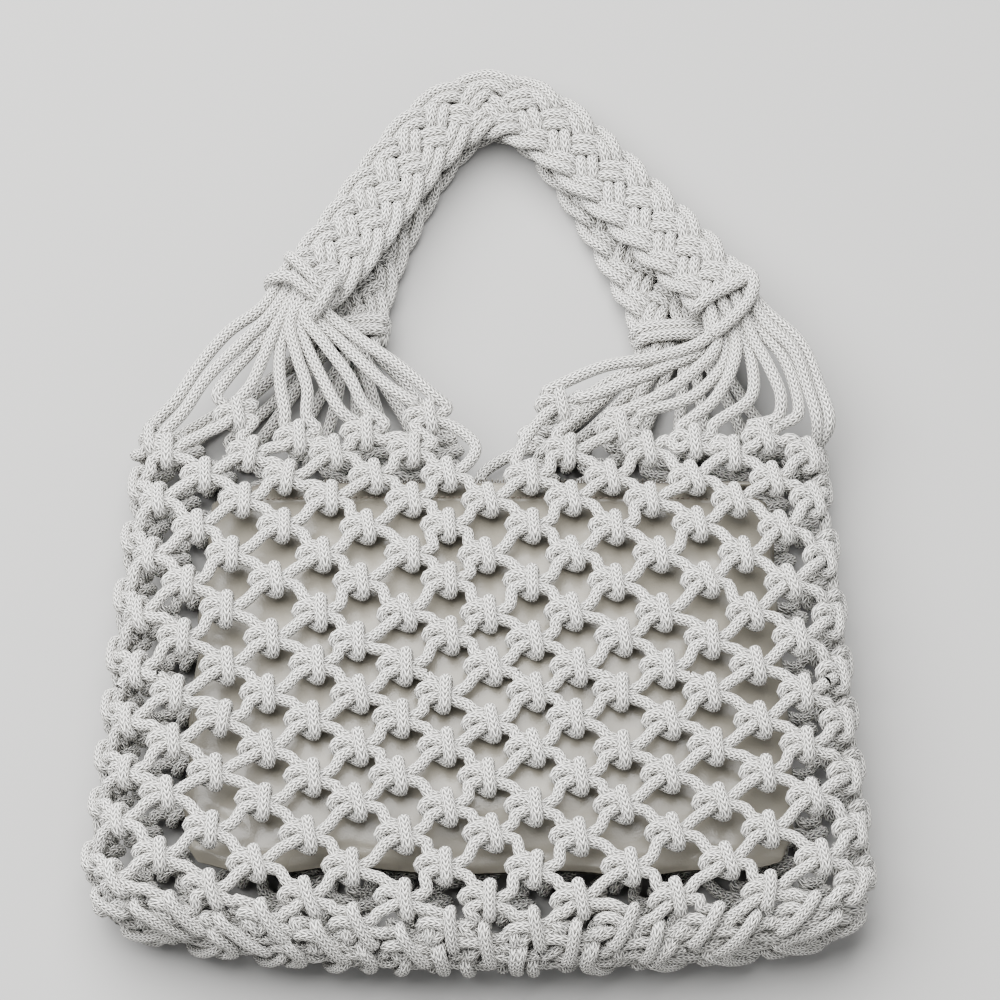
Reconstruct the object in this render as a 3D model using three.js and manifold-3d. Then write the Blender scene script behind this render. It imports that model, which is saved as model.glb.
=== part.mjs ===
import * as THREE from 'three';
import { mergeVertices } from 'three/addons/utils/BufferGeometryUtils.js';
import Module from 'manifold-3d';

// A knotted net shoulder bag with an inner zip pouch, lying on its back.
// Millimetres. X runs across the bag, Y up towards the handles, Z out of the front.

// Cord and clearances
const cordDiameter = 5;
const clearance = 0.3;

// Net bag, measured on the middle surface of the net's wall
const netWidthTop = 278;
const netWidthBottom = 311;
const netLength = 213;
const netThicknessTop = 23;
const netThicknessBottom = 39;
const netFillLength = 95;
const netBottomDepth = 22;
const netCornerRadius = 24;
const netBackHeight = 8.5;
const mouthY = 35;
const netColumns = 20;
const netRows = 10;
const netCentreSpread = 1.08;
const netHoleShare = 0.62;
const netHoleRound = 1.08;
const netHoleGrowth = 11;
const knotOutward = 8.2;
const knotInward = 5.6;
const linkOutward = 4.6;
const linkInward = 4.2;
const holeEdgeHalf = 2.6;
const restFlat = 1.1;

// Handles: flat plaits that run from one fan of cords to the other
const handleWidth = 29;
const handleThickness = 11;
const plaitRepeat = 16;
const plaitScallop = 1.3;
const plaitEdgeShare = 0.45;
const plaitShoulder = { width: 0.72, height: 0.92 };
const handleStep = 8.5;
const handleFrontRoute = [
  [-71, 97, 33], [-56, 125, 27], [-42, 150, 22], [-25, 176, 20], [-8, 192, 19.5], [8, 195, 19.5],
  [27, 186, 19.5], [46, 167, 20], [67, 143, 21], [87, 117, 27], [101, 97, 33],
];
const handleBackRoute = [
  [-54, 96, 12.5], [-49, 121, 9], [-39, 148, 7.5], [-24, 177, 7.5], [-8, 195, 7.5], [8, 200, 7.5],
  [27, 191, 7.5], [43, 170, 7.5], [58, 143, 7.5], [70, 117, 9], [78, 94, 12.5],
];

// Fans of loose cords between the handle ends and the net
const fanCords = 10;
const fanCollarLength = 18;
const fanCollarWidth = 25;
const fanCollarThickness = 10;
const fanCollarSquare = 0.2;
const fanCordTuck = 0.5;
const fanCordLayer = 0.25;
const fanCordLeave = 0.55;
const fanFootRise = 0.3;
const fanFootSplit = 0.19;
const fanSag = 1.25;

// Cord wound round each handle end
const lashingDiameter = 4.8;
const lashingTurns = 2;
const lashingSquare = 0.55;

// Inner pouch
const pouchWidth = 246;
const pouchLength = 176;
const pouchThickness = 26;
const pouchWall = 1.6;
const pouchTopFromRim = 23;
const pouchMouthHeight = 21;
const pouchMiddleHeight = netBackHeight + knotInward + clearance + pouchThickness / 2;
const pouchSides = 24;
const pouchRound = 0.8;

// Zip
const zipTapeThickness = 1.2;
const zipTapeDepth = 1.5;
const zipTeethWidth = 3.6;
const zipTeethHeight = 1.3;
const zipEndTabLength = 16;
const zipEndTabWidth = 5.6;
const zipEndTabHeight = 2.2;
const zipTeethMargin = 22;
const zipEndTabMargin = 4;

const wasm = await Module();
wasm.setup();

const cordMaterial = new THREE.MeshStandardMaterial({ color: 0xdedad1, roughness: 0.85, metalness: 0 });
const plaitMaterial = new THREE.MeshStandardMaterial({ color: 0xd6d2c8, roughness: 0.85, metalness: 0 });
const pouchMaterial = new THREE.MeshStandardMaterial({ color: 0xcdc6bb, roughness: 0.42, metalness: 0 });
const tapeMaterial = new THREE.MeshStandardMaterial({ color: 0x8d8578, roughness: 0.8, metalness: 0 });
const teethMaterial = new THREE.MeshStandardMaterial({ color: 0x9c9384, roughness: 0.5, metalness: 0 });

function lerp(a, b, t) {
  return a + (b - a) * t;
}

function smooth(t) {
  const c = Math.min(Math.max(t, 0), 1);
  return c * c * (3 - 2 * c);
}

// A closed geometry from corner positions and triangles
function solidFrom(positions, triangles) {
  const geometry = new THREE.BufferGeometry();
  geometry.setAttribute('position', new THREE.Float32BufferAttribute(positions.flat(), 3));
  geometry.setIndex(triangles.flat());
  return mergeVertices(geometry, 1e-4);
}

// A sheet of faces given a thickness: every open edge of the sheet gets a wall
function shell(faces, outerPoint, innerPoint) {
  const keys = [...new Set(faces.flat())];
  const index = new Map(keys.map((key, n) => [key, n]));
  const positions = [...keys.map(outerPoint), ...keys.map(innerPoint)];
  const count = keys.length;
  const triangles = [];
  const edges = new Map();
  for (const face of faces) {
    const corners = face.map((key) => index.get(key));
    for (let n = 1; n + 1 < corners.length; n += 1) {
      const [a, b, c] = [corners[0], corners[n], corners[n + 1]];
      triangles.push([a, b, c], [c + count, b + count, a + count]);
    }
    corners.forEach((corner, n) => {
      edges.set(`${corner},${corners[(n + 1) % corners.length]}`, [corner, corners[(n + 1) % corners.length]]);
    });
  }
  for (const [a, b] of edges.values()) {
    if (!edges.has(`${b},${a}`)) {
      triangles.push([b, a, a + count], [b, a + count, b + count]);
    }
  }
  return solidFrom(positions, triangles);
}

// Rings of equal length joined one after the other, with a flat cap at each end
function loft(rings) {
  const sides = rings[0].length;
  const positions = rings.flat();
  const triangles = [];
  for (let ring = 0; ring + 1 < rings.length; ring += 1) {
    for (let n = 0; n < sides; n += 1) {
      const a = ring * sides + n;
      const b = ring * sides + ((n + 1) % sides);
      triangles.push([a, b, b + sides], [a, b + sides, a + sides]);
    }
  }
  const last = (rings.length - 1) * sides;
  for (let n = 1; n + 1 < sides; n += 1) {
    triangles.push([0, n + 1, n], [last, last + n, last + n + 1]);
  }
  return solidFrom(positions, triangles);
}

function curveThrough(points) {
  return new THREE.CatmullRomCurve3(points.map((p) => new THREE.Vector3(...p)), false, 'centripetal');
}

// A section swept along a curve: across is level and square to the curve, up is square to both
function sweep(curve, steps, section) {
  const rings = [];
  for (let step = 0; step <= steps; step += 1) {
    const t = step / steps;
    const centre = curve.getPointAt(t);
    const along = curve.getTangentAt(t);
    const across = new THREE.Vector3(0, 0, 1).cross(along).normalize();
    const up = along.clone().cross(across);
    rings.push(section(t * curve.getLength()).map(([a, b]) => (
      centre.clone().addScaledVector(across, a).addScaledVector(up, b).toArray())));
  }
  return loft(rings);
}

function roundSection(radius, sides) {
  return Array.from({ length: sides }, (_, n) => {
    const angle = (2 * Math.PI * (n + 0.5)) / sides;
    return [radius * Math.cos(angle), radius * Math.sin(angle)];
  });
}

// A cord as an extrusion of a many-sided section along its route
function cordTube(points, diameter, sides, steps) {
  const shape = new THREE.Shape(roundSection(diameter / 2, sides).map(([a, b]) => new THREE.Vector2(a, b)));
  return new THREE.ExtrudeGeometry(shape, { extrudePath: curveThrough(points), steps, curveSegments: 1 });
}

function toManifold(geometry) {
  const bare = geometry.clone();
  bare.deleteAttribute('normal');
  bare.deleteAttribute('uv');
  const merged = mergeVertices(bare, 1e-4);
  const mesh = new wasm.Mesh({
    numProp: 3,
    vertProperties: new Float32Array(merged.attributes.position.array),
    triVerts: new Uint32Array(merged.index.array),
  });
  return new wasm.Manifold(mesh);
}

function toGeometry(manifold) {
  const mesh = manifold.getMesh();
  const geometry = new THREE.BufferGeometry();
  geometry.setAttribute('position', new THREE.BufferAttribute(new Float32Array(mesh.vertProperties), 3));
  geometry.setIndex(new THREE.BufferAttribute(new Uint32Array(mesh.triVerts), 1));
  return geometry;
}

// The middle surface of the net's wall. The column runs round the bag from the left side over the
// front, the row runs from the mouth over the front, or back, to the fold of the bottom.
function netSurface(column, row) {
  const turn = ((column % netColumns) + netColumns) % netColumns;
  const half = netColumns / 2;
  const front = turn <= half;
  const side = ((front ? turn : netColumns - turn) - half / 2) / (half / 2);
  const spread = netCentreSpread * side + (1 - netCentreSpread) * side ** 3;
  const thicknessBottom = netThicknessBottom / 2;
  const bottomArc = (Math.PI / 4) * (netBottomDepth + thicknessBottom);
  const fromRim = (row / netRows) * (netLength + bottomArc);
  const past = Math.min(Math.max(fromRim - netLength, 0) / bottomArc, 1);
  const tilt = (past * Math.PI) / 2;
  const down = Math.min(fromRim, netLength);
  const fill = smooth(down / netFillLength);
  const thickness = lerp(netThicknessTop, netThicknessBottom, fill) / 2;
  const width = lerp(netWidthTop, netWidthBottom, down / netLength) / 2 - netCornerRadius * (1 - Math.cos(tilt));
  const end = thickness * Math.cos(tilt);
  const flat = width - end;
  const arc = spread * (flat + (end * Math.PI) / 2);
  const round = end > 1e-6 ? Math.max(Math.abs(arc) - flat, 0) / end : 0;
  const x = Math.sign(arc) * (Math.min(Math.abs(arc), flat) + end * Math.sin(round));
  const z = (front ? 1 : -1) * end * Math.cos(round);
  const y = -down - netBottomDepth * Math.sin(tilt);
  const point = new THREE.Vector3(x, y, netBackHeight + thickness + z);
  const normal = new THREE.Vector3(
    Math.sign(arc) * Math.sin(round) * Math.cos(tilt),
    -Math.sin(tilt),
    (front ? 1 : -1) * Math.cos(round) * Math.cos(tilt),
  ).normalize();
  return { point, normal };
}

function netOffset(column, row, offset) {
  const { point, normal } = netSurface(column, row);
  point.y += mouthY;
  return point.addScaledVector(normal, offset).toArray();
}

// The net: a diamond lattice of cord links that meet in knots, with every diamond open
function netGeometry(grow) {
  const half = netColumns / 2;
  const spots = new Map();
  function spot(column, row, kind) {
    let at = ((column % netColumns) + netColumns) % netColumns;
    if (row === netRows && at > half) {
      at = netColumns - at;
    }
    const key = `${at.toFixed(3)},${row.toFixed(3)}`;
    spots.set(key, { column: at, row, kind });
    return key;
  }
  const faces = [];
  // One quarter of a diamond between two knots, split at the middle of the link
  function quarter(centre, from, to) {
    const middle = [(from[0] + to[0]) / 2, (from[1] + to[1]) / 2];
    const outer = [spot(...from, 'knot'), spot(...middle, 'link'), spot(...to, 'knot')];
    const inner = [from, middle, to].map(([column, row], n) => {
      const share = (n === 1 ? netHoleRound : 1) * netHoleShare - grow / netHoleGrowth;
      return spot(lerp(centre[0], column, share), lerp(centre[1], row, share), 'edge');
    });
    faces.push([outer[0], outer[1], inner[1], inner[0]], [outer[1], outer[2], inner[2], inner[1]]);
  }
  for (let row = 0; row < netRows; row += 1) {
    for (let column = (row + 1) % 2; column < netColumns; column += 2) {
      const [left, right] = [[column - 1, row], [column + 1, row]];
      quarter([column, row], left, [column, row + 1]);
      quarter([column, row], [column, row + 1], right);
      if (row > 0) {
        quarter([column, row], right, [column, row - 1]);
        quarter([column, row], [column, row - 1], left);
      }
    }
  }
  // The diamonds on the fold of the bottom reach from the front round to the back
  for (let column = 1; column < half; column += 2) {
    quarter([column, netRows], [column + 1, netRows], [column, netRows - 1]);
    quarter([column, netRows], [column, netRows - 1], [column - 1, netRows]);
    const back = netColumns - column;
    quarter([back, netRows], [back + 1, netRows], [back, netRows - 1]);
    quarter([back, netRows], [back, netRows - 1], [back - 1, netRows]);
  }
  const reach = {
    knot: [knotOutward, knotInward],
    link: [linkOutward, linkInward],
    edge: [holeEdgeHalf, holeEdgeHalf],
  };
  const at = (side, sign) => (key) => {
    const { column, row, kind } = spots.get(key);
    return netOffset(column, row, sign * (reach[kind][side] + grow));
  };
  return shell(faces, at(0, 1), at(1, -1));
}

// The bag's own weight presses the knots of its back flat where it lies
function restingNet() {
  const net = netGeometry(0);
  net.computeBoundingBox();
  const { min, max } = net.boundingBox;
  const size = max.clone().sub(min);
  const floor = new THREE.BoxGeometry(size.x * 2, size.y * 2, size.z);
  floor.translate(0, (min.y + max.y) / 2, min.z + restFlat - size.z / 2);
  return toGeometry(toManifold(net).subtract(toManifold(floor)));
}

// A plaited strap: its edges are scalloped in turn by the strands that come round them
function handleGeometry(route) {
  const curve = curveThrough(route);
  const steps = Math.round(curve.getLength() / handleStep);
  const [w, h] = [handleWidth / 2, handleThickness / 2];
  const [x, y, edge] = [w * plaitShoulder.width, h * plaitShoulder.height, h * plaitEdgeShare];
  return sweep(curve, steps, (length) => {
    const wave = plaitScallop * Math.sin((2 * Math.PI * length) / (2 * plaitRepeat));
    const [right, left] = [w + wave, -w + wave];
    return [
      [right, -edge], [right, edge], [x, y], [0, h], [-x, y],
      [left, edge], [left, -edge], [-x, -y], [0, -h], [x, -y],
    ];
  });
}

// The place and directions of a handle's end, pointing away from the handle
function handleEnd(route, last) {
  const curve = curveThrough(route);
  const out = last ? curve.getTangentAt(1) : curve.getTangentAt(0).negate();
  const centre = last ? curve.getPointAt(1) : curve.getPointAt(0);
  const across = new THREE.Vector3(0, 0, 1).cross(out).normalize();
  if (across.x < 0) {
    across.negate();
  }
  return { centre, out, across };
}

// The row at which the net's upper edge runs under a column, in net rows
function rimRow(column) {
  return Math.abs((((column + 1) % 2) + 2) % 2 - 1);
}

// Ten cords that leave a collar at the handle's end and spread to the net's upper edge
function fanGeometry(end, columnAt) {
  const { centre, out, across } = end;
  const up = out.clone().cross(across);
  const collarEnds = [clearance, fanCollarLength].map((distance) => (
    roundSection(1, 12).map(([a, b]) => {
      const square = Math.max(Math.abs(a), Math.abs(b)) ** fanCollarSquare;
      return centre.clone().addScaledVector(out, distance)
        .addScaledVector(across, (a / square) * (fanCollarWidth / 2))
        .addScaledVector(up, (b / square) * (fanCollarThickness / 2)).toArray();
    })));
  let fan = toManifold(loft(orientRings(collarEnds)));
  for (let cord = 0; cord < fanCords; cord += 1) {
    const share = cord / (fanCords - 1) - 0.5;
    const layer = cord % 2 === 0 ? fanCordLayer : -fanCordLayer;
    const start = centre.clone().addScaledVector(out, fanCollarLength / 2)
      .addScaledVector(across, share * (fanCollarWidth - cordDiameter) * fanCordTuck)
      .addScaledVector(up, layer * (fanCollarThickness - cordDiameter));
    const leave = start.clone().addScaledVector(out, fanCollarLength * fanCordLeave);
    const column = columnAt(cord);
    const foot = new THREE.Vector3(...netOffset(column, rimRow(column), 0));
    const above = new THREE.Vector3(...netOffset(column, rimRow(column) - fanFootRise, 0));
    const middle = leave.clone().lerp(above, 0.5);
    middle.addScaledVector(up, -fanSag);
    const route = [start, leave, middle, above, foot].map((p) => p.toArray());
    fan = fan.add(toManifold(cordTube(route, cordDiameter, 5, 4)));
  }
  const grownNet = toManifold(netGeometry(clearance));
  return toGeometry(largest(fan.subtract(grownNet)));
}

// Rings run so that a loft's faces point out
function orientRings(rings) {
  const centreOf = (ring) => ring.reduce((sum, p) => sum.add(new THREE.Vector3(...p)), new THREE.Vector3())
    .multiplyScalar(1 / ring.length);
  const first = centreOf(rings[0]);
  const along = centreOf(rings[1]).sub(first);
  const a = new THREE.Vector3(...rings[0][0]).sub(first);
  const b = new THREE.Vector3(...rings[0][1]).sub(first);
  return a.cross(b).dot(along) > 0 ? rings : rings.map((ring) => [...ring].reverse());
}

function largest(manifold) {
  const parts = manifold.decompose();
  return parts.reduce((best, part) => (part.volume() > best.volume() ? part : best));
}

// A cord wound in a slanting coil round the collar
function lashingGeometry(end) {
  const { centre, out, across } = end;
  const up = out.clone().cross(across);
  const reach = lashingDiameter / 2 + clearance * 3;
  const a = fanCollarWidth / 2 + reach;
  const b = fanCollarThickness / 2 + reach;
  const perTurn = 10;
  const pitch = lashingDiameter + clearance;
  const points = [];
  for (let n = 0; n <= perTurn * lashingTurns; n += 1) {
    const angle = (2 * Math.PI * n) / perTurn + Math.PI / 2;
    const [c, s] = [Math.cos(angle), Math.sin(angle)];
    const square = Math.max(Math.abs(c), Math.abs(s)) ** lashingSquare;
    const distance = lashingDiameter / 2 + clearance * 2 + (pitch * n) / perTurn;
    points.push(centre.clone().addScaledVector(out, distance)
      .addScaledVector(across, (a * c) / square)
      .addScaledVector(up, (b * s) / square).toArray());
  }
  return cordTube(points, lashingDiameter, 5, perTurn * lashingTurns);
}

// The pouch's form from its zipped mouth to its lower fold: shares of its length, width and
// thickness, and how far the middle has risen from the mouth's height
const pouchStations = [
  { down: 0, width: 0.93, thickness: 0.34, rise: 0 },
  { down: 0.07, width: 0.94, thickness: 0.5, rise: 0.1 },
  { down: 0.22, width: 0.95, thickness: 0.8, rise: 0.55 },
  { down: 0.42, width: 0.97, thickness: 1, rise: 1 },
  { down: 0.65, width: 0.99, thickness: 1, rise: 1 },
  { down: 0.84, width: 1, thickness: 0.85, rise: 1 },
  { down: 0.95, width: 0.99, thickness: 0.5, rise: 1 },
  { down: 0.99, width: 0.97, thickness: 0.2, rise: 1 },
  { down: 1, width: 0.955, thickness: 0, rise: 1 },
];

// Where the pouch's skin runs at an angle round a station, and which way it faces
function pouchSkin(station, angle, inset) {
  const halfWidth = (pouchWidth * station.width) / 2 - inset;
  const halfThickness = Math.max((pouchThickness * station.thickness) / 2 - inset, 0);
  const [c, s] = [Math.cos(angle), Math.sin(angle)];
  const x = -halfWidth * Math.sign(c) * Math.abs(c) ** pouchRound;
  const z = halfThickness * Math.sign(s) * Math.abs(s) ** pouchRound;
  const y = mouthY - pouchTopFromRim - station.down * pouchLength;
  const height = lerp(pouchMouthHeight, pouchMiddleHeight, station.rise);
  return [x, y, height + z];
}

function pouchGeometry() {
  const faces = [];
  const last = pouchStations.length - 1;
  const key = (side, row) => {
    const around = (side + pouchSides) % pouchSides;
    return `${row === last && around > pouchSides / 2 ? pouchSides - around : around},${row}`;
  };
  for (let row = 0; row < last; row += 1) {
    for (let side = 0; side < pouchSides; side += 1) {
      const face = [key(side, row), key(side, row + 1), key(side + 1, row + 1), key(side + 1, row)];
      faces.push(face.filter((spot, n) => face.indexOf(spot) === n));
    }
  }
  const at = (inset) => (spot) => {
    const [side, row] = spot.split(',').map(Number);
    const point = pouchSkin(pouchStations[row], (2 * Math.PI * side) / pouchSides, inset);
    if (row === last) {
      point[1] += inset;
    }
    return point;
  };
  return shell(faces, at(0), at(pouchWall));
}

// A flat level plate that fills the pouch's mouth, set a little below its edge
function zipTapeGeometry() {
  const inset = pouchWall + clearance;
  const outline = Array.from({ length: pouchSides }, (_, side) => {
    const [x, , z] = pouchSkin(pouchStations[0], (2 * Math.PI * side) / pouchSides, inset);
    return [x, z];
  });
  const top = mouthY - pouchTopFromRim - zipTapeDepth;
  const rings = [top, top - zipTapeThickness].map((y) => outline.map(([x, z]) => [x, y, z]));
  return loft(orientRings(rings));
}

// A bar across the pouch's mouth, its foot at a height along the bag
function mouthBar(width, height, depth, centreX, foot) {
  const geometry = new THREE.BoxGeometry(width, height, depth);
  geometry.translate(centreX, foot + clearance + height / 2, pouchMouthHeight);
  return geometry;
}

const pouchTop = mouthY - pouchTopFromRim;
const mouthHalf = (pouchWidth * pouchStations[0].width) / 2;

function zipTeethGeometry() {
  const width = 2 * (mouthHalf - zipTeethMargin);
  return mouthBar(width, zipTeethHeight, zipTeethWidth, 0, pouchTop - zipTapeDepth);
}

function zipEndTabGeometry() {
  const centreX = mouthHalf - zipEndTabMargin - zipEndTabLength / 2;
  return mouthBar(zipEndTabLength, zipEndTabHeight, zipEndTabWidth, centreX, pouchTop);
}

const purse = new THREE.Group();

function addPiece(name, geometry, material) {
  const mesh = new THREE.Mesh(geometry, material);
  mesh.name = name;
  purse.add(mesh);
}

// Net columns that the cords of a fan run to, two to each real knot of the upper row
const leftColumn = (cord) => 0.5 + Math.floor(cord / 2) + (cord % 2 === 0 ? -fanFootSplit : fanFootSplit);
const frontLeft = (cord) => leftColumn(cord);
const frontRight = (cord) => netColumns / 2 - leftColumn(fanCords - 1 - cord);
const backLeft = (cord) => netColumns - leftColumn(cord);
const backRight = (cord) => netColumns / 2 + leftColumn(fanCords - 1 - cord);

addPiece('net_body', restingNet(), cordMaterial);
addPiece('handle_front', handleGeometry(handleFrontRoute), plaitMaterial);
addPiece('handle_back', handleGeometry(handleBackRoute), plaitMaterial);

const corners = [
  ['front_left', handleFrontRoute, false, frontLeft],
  ['front_right', handleFrontRoute, true, frontRight],
  ['back_left', handleBackRoute, false, backLeft],
  ['back_right', handleBackRoute, true, backRight],
];
for (const [corner, route, last, columnAt] of corners) {
  const end = handleEnd(route, last);
  addPiece(`fan_${corner}`, fanGeometry(end, columnAt), cordMaterial);
  addPiece(`lashing_${corner}`, lashingGeometry(end), cordMaterial);
}

addPiece('pouch_body', pouchGeometry(), pouchMaterial);
addPiece('zip_tape', zipTapeGeometry(), tapeMaterial);
addPiece('zip_teeth', zipTeethGeometry(), teethMaterial);
addPiece('zip_end_tab', zipEndTabGeometry(), pouchMaterial);

// The origin is under the middle of the whole bag, on the surface that it lies on
const box = new THREE.Box3().setFromObject(purse);
const middle = box.getCenter(new THREE.Vector3());
purse.position.set(-middle.x, -middle.y, -box.min.z);

export default purse;
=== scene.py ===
import math

import bpy
import numpy as np
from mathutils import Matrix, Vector, noise


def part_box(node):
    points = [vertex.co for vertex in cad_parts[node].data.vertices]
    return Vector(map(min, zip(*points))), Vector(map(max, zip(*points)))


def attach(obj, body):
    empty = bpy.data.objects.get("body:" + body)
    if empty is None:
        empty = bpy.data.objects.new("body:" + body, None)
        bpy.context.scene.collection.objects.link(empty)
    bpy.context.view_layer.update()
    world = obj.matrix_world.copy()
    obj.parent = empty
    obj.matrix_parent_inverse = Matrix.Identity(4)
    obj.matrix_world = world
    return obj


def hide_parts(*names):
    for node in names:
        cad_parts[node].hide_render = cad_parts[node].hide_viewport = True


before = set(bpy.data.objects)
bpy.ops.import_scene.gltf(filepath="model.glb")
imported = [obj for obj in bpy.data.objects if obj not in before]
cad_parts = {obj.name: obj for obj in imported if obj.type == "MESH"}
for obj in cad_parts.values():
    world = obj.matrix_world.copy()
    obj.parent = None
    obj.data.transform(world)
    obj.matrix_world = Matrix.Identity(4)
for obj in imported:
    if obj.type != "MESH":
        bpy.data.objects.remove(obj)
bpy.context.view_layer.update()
print("frame loaded")

mm = 0.001
scene = bpy.context.scene

# The net's middle surface, in millimetres, as the CAD's lattice has it
netSizes = {
    "widthTop": 278,
    "widthBottom": 311,
    "length": 213,
    "thicknessTop": 23,
    "thicknessBottom": 39,
    "fillLength": 95,
    "bottomDepth": 22,
    "cornerRadius": 24,
    "backHeight": 8.5,
    "mouthY": 35,
    "knotOutward": 8.2,
    "restFlat": 1.1,
    "foldFuller": 0.36,
    "foldTurn": 14,
    "foldRow": 17,
    "foldCalm": 0.35,
    "fullerRows": 2,
    "fullerColumns": 3,
    "liftLeft": 17,
    "liftRight": 12,
    "liftRow": 9,
    "liftPower": 2.2,
    "columns": 40,
    "rows": 20,
    "centreSpread": 1.08,
    "cord": 5.0,
    "barWidth": 1.04,
    "barThickness": 0.8,
    "wander": 0.09,
    "wanderScale": 0.9,
    "turn": 8,
    "turnGain": 2.2,
    "turnScale": 1.7,
    "wrapArch": 0.14,
    "coreArch": 0.02,
    "archDrift": 0.12,
    "wideLoop": 1.5,
    "narrowLoop": 0.45,
    "frontSides": 12,
    "backSides": 8,
    "frontStep": 1.44,
    "backStep": 1.8,
    "upperRows": 9,
    "lap": 3,
    "seedStep": 3.7,
    "alongStep": 2.0,
}

# Columns where a knot of the second row is left out, so that the cords beside it hang in open loops
missingKnots = (10, 30)

# A knot's two cords, in cord diameters to the right, up the bag and out of it, and how flat each lies
wrapRoute = [
    (-1.2, 1.22, 0.1, 0), (-0.55, 1.02, -0.15, 0), (0.0, 0.9, -0.5, 0), (-0.02, 1.3, -0.05, 0.6),
    (-0.08, 1.14, 0.66, 1), (-0.02, 0.45, 0.82, 1), (0.08, -0.45, 0.82, 1), (0.16, -1.1, 0.66, 1),
    (0.14, -1.28, 0.0, 0.6), (-0.1, -0.95, -0.5, 0), (-0.65, -0.5, -0.6, 0), (-1.3, -0.2, -0.45, 0),
    (-1.72, 0.12, 0.0, 0), (-1.38, 0.48, 0.3, 0), (-0.6, 0.42, 0.36, 0), (0.1, -0.15, 0.2, 0),
    (0.8, -0.48, 0.12, 0), (1.4, -0.64, 0.05, 0),
]
coreRoute = [
    (1.4, 0.86, 0.1, 0), (0.8, 0.34, 0.05, 0), (0.0, 0.0, -0.3, 0), (-0.7, -0.4, 0.2, 0),
    (-1.3, -0.84, 0.25, 0),
]

# How far the real knots sit from an even lattice, by column and by row
columnShift = {0: -0.75, 2: -0.58, 4: -0.2, 6: 0.15, 8: 0.25, 10: 0.27, 12: 0.33, 14: 0.48, 16: 0.8,
               18: 1.15, 20: 1.3, 25: 1.0, 30: 0.3, 35: -0.4, 40: -0.75}
rowShift = {0: 0, 3: -0.1, 5: 0.22, 7: 0.48, 9: 0.5, 11: 0.45, 14: 0.5, 16: 0.75, 17: 0.85, 18: 0.72,
            19: 0.32, 20: 0}

# Knots of the rim are pulled up and sideways by the fans
rimShift = {1: (0.5, 0.35), 3: (0.8, -0.4), 5: (0.27, 0.45), 7: (-0.26, 0.25), 9: (-0.57, -0.3),
            11: (0.9, -0.8), 13: (0.4, 0.1), 15: (0.1, 0.5), 17: (-0.1, 0.3), 19: (0, 0.8),
            29: (-1.0, -0.3)}


def lerp(a, b, t):
    return a + (b - a) * t


def smooth(t):
    c = min(max(t, 0), 1)
    return c * c * (3 - 2 * c)


def unit(v):
    return v / max(np.linalg.norm(v), 1e-9)


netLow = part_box("net_body")[0]
netFoot = netSizes["mouthY"] - netSizes["length"] - netSizes["bottomDepth"] - netSizes["knotOutward"]
netBack = netSizes["backHeight"] - netSizes["knotOutward"] + netSizes["restFlat"]
frameShift = np.array([0.0, netLow[1] / mm - netFoot, netLow[2] / mm - netBack])
print("part to row frame, mm:", frameShift.round(3))

bottomArc = math.pi / 4 * (netSizes["bottomDepth"] + netSizes["thicknessBottom"] / 2)


# The net's middle surface at a column and a row. Rows past the bottom's fold go on up the other side.
def netSurface(column, row):
    s = netSizes
    if row > s["rows"]:
        column, row = s["columns"] - column, 2 * s["rows"] - row
    turn = column % s["columns"]
    half = s["columns"] / 2
    front = turn <= half
    side = ((turn if front else s["columns"] - turn) - half / 2) / (half / 2)
    spread = s["centreSpread"] * side + (1 - s["centreSpread"]) * side ** 3
    fromRim = row / s["rows"] * (s["length"] + bottomArc)
    past = min(max(fromRim - s["length"], 0) / bottomArc, 1)
    tilt = past * math.pi / 2
    down = min(fromRim, s["length"])
    thickness = lerp(s["thicknessTop"], s["thicknessBottom"], smooth(down / s["fillLength"])) / 2
    width = lerp(s["widthTop"], s["widthBottom"], down / s["length"]) / 2
    width -= s["cornerRadius"] * (1 - math.cos(tilt))
    end = thickness * math.cos(tilt)
    flat = width - end
    arc = spread * (flat + end * math.pi / 2)
    bend = max(abs(arc) - flat, 0) / end if end > 1e-6 else 0
    sign = math.copysign(1, arc)
    face = 1 if front else -1
    x = sign * (min(abs(arc), flat) + end * math.sin(bend))
    y = s["mouthY"] - down - s["bottomDepth"] * math.sin(tilt)
    lift = s["liftLeft"] if side < 0 else s["liftRight"]
    y += smooth((row - s["liftRow"]) / (s["rows"] - s["liftRow"])) * lift * abs(side) ** s["liftPower"]
    z = s["backHeight"] + thickness + face * end * math.cos(bend)
    normal = np.array([
        sign * math.sin(bend) * math.cos(tilt), -math.sin(tilt), face * math.cos(bend) * math.cos(tilt)])
    return np.array([x, y, z]) + frameShift, unit(normal)


seedShift = (17.3, -9.1, 5.7)


# A smooth random number from -1 to 1 for a place
def drift(seed, *place):
    spot = [float(v) for v in place] + [0.0, 0.0]
    return noise.noise(Vector([spot[n] + seedShift[n] * seed for n in range(3)]))


def unitRows(rows):
    return rows / np.maximum(np.linalg.norm(rows, axis=1), 1e-9)[:, None]


def lengthAlong(line):
    return np.concatenate([[0], np.cumsum(np.linalg.norm(np.diff(line, axis=0), axis=1))])


# A value at a time t between p at time a and q at time b
def between(p, q, a, b, t):
    return (b - t) / (b - a) * p + (t - a) / (b - a) * q


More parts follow.
